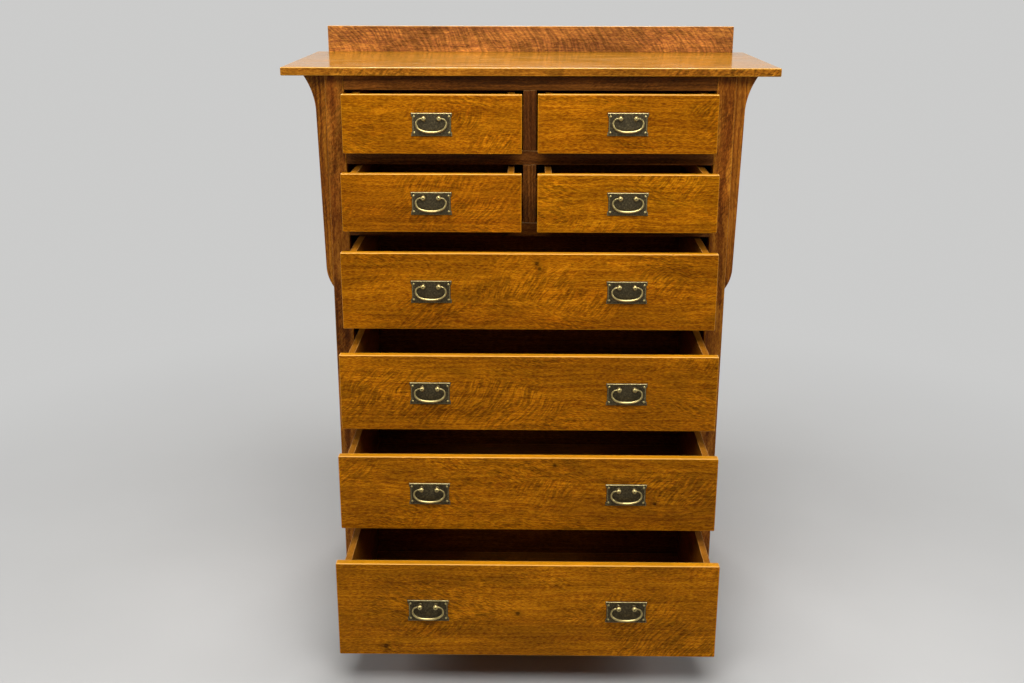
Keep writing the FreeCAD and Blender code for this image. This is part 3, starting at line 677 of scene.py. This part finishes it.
def paint_top_light(mesh, amount):
    """Mark the upward faces to be lightened as painted top light."""
    mesh.normal_update()
    wear_and_painted_light = mesh.faces.layers.float.new("wear_and_painted_light")
    for face in mesh.faces:
        if face.normal.z > UPWARD:
            face[wear_and_painted_light] = amount


def ease_edges(mesh, ease):
    """Round every sharp edge, and mark the rounded faces: the upper arrises for a painted highlight,
    the others as worn.
    """
    wear_and_painted_light = mesh.faces.layers.float.get("wear_and_painted_light") or mesh.faces.layers.float.new("wear_and_painted_light")
    sharp = [
        edge for edge in mesh.edges
        if len(edge.link_faces) == 2 and edge.calc_face_angle(0) > SHARP_TURN
    ]
    made = bmesh.ops.bevel(
        mesh, geom=sharp, offset=ease, segments=EASE_STEPS, profile=0.5, affect="EDGES",
        clamp_overlap=True,
    )
    for face in made["faces"]:
        face.normal_update()
        # Upper arrises get a painted highlight, the other arrises wear
        face[wear_and_painted_light] = UPPER_ARRIS_HIGHLIGHT if face.normal.z > ARRIS_UPWARD else ARRIS_RUB


def lay_grain(mesh, seed, knots=(NO_KNOT, NO_KNOT)):
    """Give each board its own stretch of wood: grain along its length, rings across it."""
    draw = random.Random(seed)
    wood = mesh.verts.layers.float_vector.new("wood")
    tone = mesh.verts.layers.float.new("tone")
    knot_layers = [mesh.verts.layers.float_vector.new(name) for name in KNOTS]
    for board in islands(mesh):
        low, high = extent(board)
        size = high - low
        along, across, through = sorted(range(3), key=lambda axis: -size[axis])
        start = Vector(draw.uniform(-WOOD_SPREAD, WOOD_SPREAD) for _ in range(3))
        shade = draw.uniform(-1, 1)
        for vertex in board:
            place = vertex.co - low
            vertex[wood] = start + Vector((place[along], place[across], place[through]))
            vertex[tone] = shade
            for layer, knot in zip(knot_layers, knots):
                vertex[layer] = start + Vector((*knot, 0))


def make_piece(name, mesh, material, body, nodes=()):
    """A finished piece: the mesh smoothed and dressed, riding on its body."""
    data = bpy.data.meshes.new(name)
    for face in mesh.faces:
        face.smooth = True
    for edge in mesh.edges:
        if len(edge.link_faces) == 2 and edge.calc_face_angle(0) > SHARP_TURN:
            edge.smooth = False
    mesh.to_mesh(data)
    mesh.free()
    data.materials.append(material)
    piece = bpy.data.objects.new(name, data)
    bpy.context.scene.collection.objects.link(piece)
    normals = piece.modifiers.new("flat_faces_stay_flat", "WEIGHTED_NORMAL")
    normals.keep_sharp = True
    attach(piece, body)
    if nodes:
        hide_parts(*nodes)
    return piece


def wooden(name, mesh, ease, material, body, nodes=()):
    """A finished piece of boards, with rounded arrises and each board's own grain."""
    ease_edges(mesh, ease)
    lay_grain(mesh, name, *[KNOT_PLACES[node] for node in nodes if node in KNOT_PLACES])
    return make_piece(name, mesh, material, body, nodes)


# The case


def make_case():
    for node, ease, material in (
        ("top_board", TOP_EASE, OAK_TOP), ("backsplash", CASE_EASE, OAK_SPLASH),
    ):
        mesh = bmesh.new()
        add_block(mesh, *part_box(node))
        # The upward faces get painted top light
        paint_top_light(mesh, BOARD_TOP_LIGHT)
        wooden(f"{node}_wood", mesh, ease, material, "case", [node])
    for node in ("front_posts", "rear_posts", "side_and_back_rails"):
        wooden(f"{node}_wood", cad_solids(node), CASE_EASE, OAK_CASE, "case", [node])
    for node in ("front_corbels", "rear_corbels"):
        mesh = cad_solids(node)
        spread_out(mesh)
        wooden(f"{node}_wood", mesh, CASE_EASE, OAK_CASE, "case", [node])
    wooden(
        "side_panels_wood", cad_solids("side_panels"), CASE_EASE, OAK_PANEL, "case",
        ["side_panels"],
    )
    for node in (
        "top_rail", "drawer_rails", "bottom_rail", "centre_stiles", "centre_divider", "slide_cleats",
    ):
        wooden(f"{node}_wood", cad_solids(node), CASE_EASE, OAK_RAIL_PAINTED_SHADE, "case", [node])
    wooden(
        "back_panel_wood", cad_solids("back_panel"), BOX_EASE, BACK_PLY, "case",
        ["back_panel"],
    )
    steel("slide_outer_members_steel", cad_solids("slide_outer_members"), "case", "slide_outer_members")


def spread_out(mesh):
    """Widen each corbel away from the post that it stands on."""
    for solid in islands(mesh):
        seat = min((vertex.co.x for vertex in solid), key=abs)
        for vertex in solid:
            vertex.co.x = seat + CORBEL_SPREAD * (vertex.co.x - seat)


def steel(name, mesh, body, node):
    ease_edges(mesh, STEEL_EASE)
    return make_piece(name, mesh, STEEL, body, [node])


# The drawers


def make_front(drawer):
    mesh = bmesh.new()
    add_block(mesh, *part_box(f"{drawer}_front"))
    # The upward faces get painted top light
    paint_top_light(mesh, FRONT_TOP_LIGHT)
    wooden(
        f"{drawer}_front_wood", mesh, FRONT_EASE, OAK_FRONT, drawer, [f"{drawer}_front"]
    )


def make_box(drawer):
    """The sides and back in one piece, and the bottom between them in another."""
    low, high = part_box(f"{drawer}_box")
    inner = (low.x + BOX_SIDE, high.x - BOX_SIDE)
    bottom = (low.z + BOX_BOTTOM_INSET, low.z + BOX_BOTTOM_INSET + BOX_BOTTOM)
    walls = bmesh.new()
    add_block(walls, low, (inner[0], high.y, high.z))
    add_block(walls, (inner[1], low.y, low.z), high)
    add_block(walls, (inner[0], high.y - BOX_BACK, bottom[1]), (inner[1], high.y, high.z))
    # The walls' upward faces get painted top light
    paint_top_light(walls, FRONT_TOP_LIGHT)
    node = f"{drawer}_box"
    wooden(f"{drawer}_box_walls", walls, BOX_EASE, OAK_DRAWER, drawer, [node])
    floor = bmesh.new()
    add_block(floor, (inner[0], low.y, bottom[0]), (inner[1], high.y, bottom[1]))
    wooden(f"{drawer}_box_bottom", floor, BOX_EASE, OAK_INSIDE, drawer, [node])


def make_slides(drawer):
    steel(
        f"{drawer}_slide_middle_steel", cad_solids(f"{drawer}_slide_middle"),
        f"{drawer}_slide", f"{drawer}_slide_middle",
    )
    inner = cad_solids(f"{drawer}_hardware")
    for solid in islands(inner):
        low, high = extent(solid)
        if high.y - low.y < SLIDE_LEAST_LENGTH:
            bmesh.ops.delete(inner, geom=solid, context="VERTS")
    steel(f"{drawer}_slide_inner_steel", inner, drawer, f"{drawer}_hardware")


# The pulls


def wear_and_highlight_layer(mesh):
    return mesh.verts.layers.float.get("wear_and_highlight") or mesh.verts.layers.float.new("wear_and_highlight")


def add_turned(mesh, profile, centre, sides):
    """A turned form standing out from the drawer's face, from (out, radius, wear) rings."""
    wear_and_highlight = wear_and_highlight_layer(mesh)
    rings = []
    for out, radius, wear_and_light in profile:
        ring = []
        for side in range(sides if radius else 1):
            turn = 2 * math.pi * side / sides
            vertex = mesh.verts.new(
                centre + Vector((radius * math.cos(turn), -out, radius * math.sin(turn)))
            )
            vertex[wear_and_highlight] = wear_and_light
            ring.append(vertex)
        rings.append(ring)
    for lower, upper in zip(rings, rings[1:]):
        for side in range(sides):
            after = (side + 1) % sides
            if len(upper) == 1:
                mesh.faces.new((lower[side], lower[after], upper[0]))
            else:
                mesh.faces.new((lower[side], lower[after], upper[after], upper[side]))
    mesh.faces.new(rings[0][::-1])


def plate_outline():
    """The plate's edge, its sides drawn in between an ear at each corner."""
    waist = PLATE_HALF_WIDTH - PLATE_WAIST
    ear = PLATE_HALF_HEIGHT - PLATE_EAR
    right = [(PLATE_HALF_WIDTH, PLATE_HALF_HEIGHT), (PLATE_HALF_WIDTH - PLATE_EAR_TAPER, ear)]
    for step in range(1, PLATE_FILLET_STEPS + 1):
        turn = math.pi / 2 * step / PLATE_FILLET_STEPS
        right.append((
            PLATE_HALF_WIDTH - PLATE_WAIST * math.sin(turn),
            ear - PLATE_EAR_FILLET * (1 - math.cos(turn)),
        ))
    right.append((waist, 0))
    lower = [(across, -up) for across, up in right[-2::-1]]
    side = right + lower
    return side + [(-across, -up) for across, up in side]


def make_plate(name, body, centre):
    """The back plate with a bevelled rim."""
    mesh = bmesh.new()
    wear_and_highlight = wear_and_highlight_layer(mesh)
    back = [mesh.verts.new(centre + Vector((across, 0, up))) for across, up in plate_outline()]
    base = mesh.faces.new(back)
    base.normal_update()
    if base.normal.y < 0:
        base.normal_flip()
    made = bmesh.ops.extrude_face_region(mesh, geom=[base])
    raised = [item for item in made["geom"] if isinstance(item, bmesh.types.BMVert)]
    bmesh.ops.translate(mesh, verts=raised, vec=(0, PLATE_RIM - PLATE_THICKNESS, 0))
    face = next(item for item in made["geom"] if isinstance(item, bmesh.types.BMFace))
    bmesh.ops.recalc_face_normals(mesh, faces=mesh.faces)
    bmesh.ops.inset_region(mesh, faces=[face], thickness=PLATE_BEVEL, depth=PLATE_RIM)
    # The rims are worn bright, and the top rim a little more as a painted highlight
    for vertex in [*raised, *face.verts]:
        upper = vertex.co.z > centre.z + PLATE_TOP_RIM_ABOVE
        vertex[wear_and_highlight] = PLATE_TOP_WEAR_AND_HIGHLIGHT if upper else PLATE_EDGE_WEAR
    bmesh.ops.inset_region(mesh, faces=[face], thickness=PLATE_WORN_EDGE, depth=0)
    for vertex in face.verts:
        vertex[wear_and_highlight] = PLATE_FACE_WEAR
    make_piece(f"{name}_plate", mesh, BRASS, body, [f"{body}_hardware"])


def make_nails(name, body, centre):
    """The domed nails at the plate's corners."""
    nails = bmesh.new()
    profile = [
        (rise * NAIL_HEIGHT, share * NAIL_RADIUS, wear_and_highlight) for rise, share, wear_and_highlight in NAIL_RING_SHARES
    ]
    for across in (-NAIL_PLACE[0], NAIL_PLACE[0]):
        for up in (-NAIL_PLACE[1], NAIL_PLACE[1]):
            spot = centre + Vector((across, -PLATE_THICKNESS, up))
            add_turned(nails, profile, spot, NAIL_SIDES)
    make_piece(f"{name}_nails", nails, BRASS, body, [f"{body}_hardware"])


def make_posts(name, body, centre):
    """The two ball posts: a collar, a neck, and a ball with a dimpled nose."""
    ball = []
    for step in range(BALL_STEPS + 1):
        turn = BALL_START + BALL_SPAN * step / BALL_STEPS
        wear_and_highlight = BALL_NECK_WEAR + (BALL_NOSE_WEAR - BALL_NECK_WEAR) * step / BALL_STEPS
        ball.append((KNOB_STANDOFF + KNOB_RADIUS * math.sin(turn), KNOB_RADIUS * math.cos(turn), wear_and_highlight))
    nose = ball[-1][0]
    dimple = [(nose + out, radius, wear_and_highlight) for out, radius, wear_and_highlight in DIMPLE]
    mesh = bmesh.new()
    for side in (-1, 1):
        spot = centre + Vector((side * KNOB_HALF_SPACING, -PLATE_THICKNESS, KNOB_RISE))
        add_turned(mesh, [*COLLAR, *NECK, *ball, *dimple], spot, KNOB_SIDES)
    make_piece(f"{name}_posts", mesh, BRASS, body, [f"{body}_hardware"])


def bail_line():
    """The bail's middle line as (across, up) from the pivot, from its left pin to its right."""
    reach = BAIL_HALF_WIDTH - BAIL_START
    right = [(BAIL_START - BAIL_PIN_REACH, 0)]
    for step in range(SHOULDER_STEPS + 1):
        turn = math.pi / 2 * step / SHOULDER_STEPS
        right.append((BAIL_START + reach * math.sin(turn), BAIL_SHOULDER * (math.cos(turn) - 1)))
    for step in range(1, BAIL_STEPS + 1):
        turn = math.pi / 2 * step / BAIL_STEPS
        right.append((
            BAIL_HALF_WIDTH * math.cos(turn) ** BAIL_SQUARENESS,
            -(BAIL_SHOULDER + (BAIL_DROP - BAIL_SHOULDER) * math.sin(turn) ** BAIL_SQUARENESS),
        ))
    right[-1] = (0, -BAIL_DROP)
    return [(-across, up) for across, up in right] + right[-2::-1]


def make_bail(name, node, pivot):
    """The hanging wire, thick at the bottom of its bow and thin where it enters the posts."""
    line = [pivot + Vector((across, 0, up)) for across, up in bail_line()]
    mesh = bmesh.new()
    wear_and_highlight = wear_and_highlight_layer(mesh)
    rings = []
    for number, spot in enumerate(line):
        before = line[max(number - 1, 0)]
        after = line[min(number + 1, len(line) - 1)]
        way = (after - before).normalized()
        side = way.cross(INWARD).normalized()
        drop = (pivot.z - spot.z) / BAIL_DROP
        thicker = (BAIL_THICK_RADIUS - BAIL_THIN_RADIUS) * drop ** BAIL_TAPER_POWER
        ring = []
        for step in range(WIRE_SIDES):
            turn = 2 * math.pi * step / WIRE_SIDES
            out = side * math.cos(turn) + INWARD * math.sin(turn)
            vertex = mesh.verts.new(spot + out * (BAIL_THIN_RADIUS + thicker))
            # Worn brighter towards the bottom of the bow, with a painted highlight on the wire's front
            # and painted shade on its back
            vertex[wear_and_highlight] = WIRE_WEAR + WIRE_LOW_WEAR * drop - WIRE_FRONT_HIGHLIGHT * math.sin(turn)
            ring.append(vertex)
        rings.append(ring)
    for first, second in zip(rings, rings[1:]):
        for step in range(WIRE_SIDES):
            after = (step + 1) % WIRE_SIDES
            mesh.faces.new((first[step], first[after], second[after], second[step]))
    mesh.faces.new(rings[0][::-1])
    mesh.faces.new(rings[-1])
    bmesh.ops.recalc_face_normals(mesh, faces=mesh.faces)
    make_piece(f"{name}_wire", mesh, BRASS, node, [node])


def make_pull(joint):
    """A whole pull, placed by the hinge that its bail hangs on."""
    node = joint["child"]
    body = joint["parent"]
    pivot = Vector(joint["pos_m"])
    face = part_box(f"{body}_front")[0].y
    centre = Vector((pivot.x, face, pivot.z - KNOB_RISE))
    make_plate(node, body, centre)
    make_nails(node, body, centre)
    make_posts(node, body, centre)
    make_bail(node, node, pivot)


# Floor, light and camera


def make_floor():
    """A wide pale floor whose far part shows as an even pale ground from every side."""
    mesh = bmesh.new()
    bmesh.ops.create_grid(mesh, x_segments=2, y_segments=2, size=FLOOR_HALF_WIDTH)
    data = bpy.data.meshes.new("studio_floor")
    mesh.to_mesh(data)
    mesh.free()
    g = Graph("studio_floor")
    place = g.add("TexCoord", output="Object")
    cloud = g.noise(g.stretch(place, FLOOR_REPEATS), detail=3.0)
    near = g.add("BsdfPrincipled", {
        "Base Color": g.colours(cloud, NOISE_ENDS, FLOOR_COLOURS),
        "Roughness": 0.85,
        "Specular IOR Level": 0.15,
    })
    ground = g.add("Emission", {"Color": GROUND_COLOUR, "Strength": GROUND_STRENGTH})
    distance = g.add("VectorMath", {0: place}, "Value", operation="LENGTH")
    path = g.add("LightPath").node.outputs
    seen = g.add("Math", {0: path["Is Camera Ray"], 1: path["Is Glossy Ray"]}, operation="MAXIMUM")
    seen = g.add("Math", {0: seen, 1: path["Is Transmission Ray"]}, operation="MAXIMUM")
    far = g.product(seen, g.ramp(distance, *GROUND_FADE))
    g.add("OutputMaterial", {"Surface": g.add("MixShader", {0: far, 1: near, 2: ground})})
    data.materials.append(g.material)
    floor = bpy.data.objects.new("studio_floor", data)
    bpy.context.scene.collection.objects.link(floor)


def make_lamp(name, place, target, size, power):
    lamp = bpy.data.lights.new(name, "AREA")
    lamp.shape = "RECTANGLE"
    lamp.size, lamp.size_y = size
    lamp.energy = power
    holder = bpy.data.objects.new(name, lamp)
    holder.location = place
    way = Vector(target) - Vector(place)
    holder.rotation_euler = way.to_track_quat("-Z", "Y").to_euler()
    bpy.context.scene.collection.objects.link(holder)


def make_light():
    for lamp in LAMPS:
        make_lamp(*lamp)
    bpy.context.scene.world = make_world()


def make_world():
    """Weak even light, seen as the same pale ground by the camera and in reflections."""
    world = bpy.data.worlds.new("studio")
    world.use_nodes = True
    nodes = world.node_tree.nodes
    links = world.node_tree.links
    path = nodes.new("ShaderNodeLightPath")
    seen = path.outputs["Is Camera Ray"]
    for ray in ("Is Glossy Ray", "Is Transmission Ray"):
        either = nodes.new("ShaderNodeMath")
        either.operation = "MAXIMUM"
        links.new(seen, either.inputs[0])
        links.new(path.outputs[ray], either.inputs[1])
        seen = either.outputs[0]
    strength = nodes.new("ShaderNodeMapRange")
    strength.inputs["To Min"].default_value = WORLD_STRENGTH
    strength.inputs["To Max"].default_value = GROUND_STRENGTH
    links.new(seen, strength.inputs["Value"])
    background = nodes["Background"]
    background.inputs["Color"].default_value = GROUND_COLOUR
    links.new(strength.outputs[0], background.inputs["Strength"])
    return world


def make_camera():
    camera = bpy.data.cameras.new("camera")
    camera.sensor_width = SENSOR_WIDTH
    camera.lens = FOCAL_PIXELS / PHOTO_WIDTH * SENSOR_WIDTH
    camera.clip_end = 2 * FLOOR_HALF_WIDTH
    yaw, pitch, roll = CAMERA_YAW, CAMERA_PITCH, CAMERA_ROLL
    ahead = Vector((
        -math.sin(yaw) * math.cos(pitch), math.cos(yaw) * math.cos(pitch), -math.sin(pitch)
    ))
    level = Vector((math.cos(yaw), math.sin(yaw), 0))
    above = level.cross(ahead)
    right = math.cos(roll) * level + math.sin(roll) * above
    up = -math.sin(roll) * level + math.cos(roll) * above
    holder = bpy.data.objects.new("camera", camera)
    turn = Matrix((right, up, -ahead)).transposed().to_4x4()
    holder.matrix_world = Matrix.Translation(Vector(CAMERA_PLACE) * MM) @ turn
    bpy.context.scene.collection.objects.link(holder)
    bpy.context.scene.camera = holder


make_case()
DRAWERS = [node[: -len("_front")] for node in frame["nodes"] if node.endswith("_front")]
for drawer_body in sorted(DRAWERS):
    make_front(drawer_body)
    make_box(drawer_body)
    make_slides(drawer_body)
for swing in frame["joints"]:
    if swing["child"].endswith("bail"):
        make_pull(swing)
make_floor()
make_light()
make_camera()
bpy.context.scene.view_settings.view_transform = "Standard"
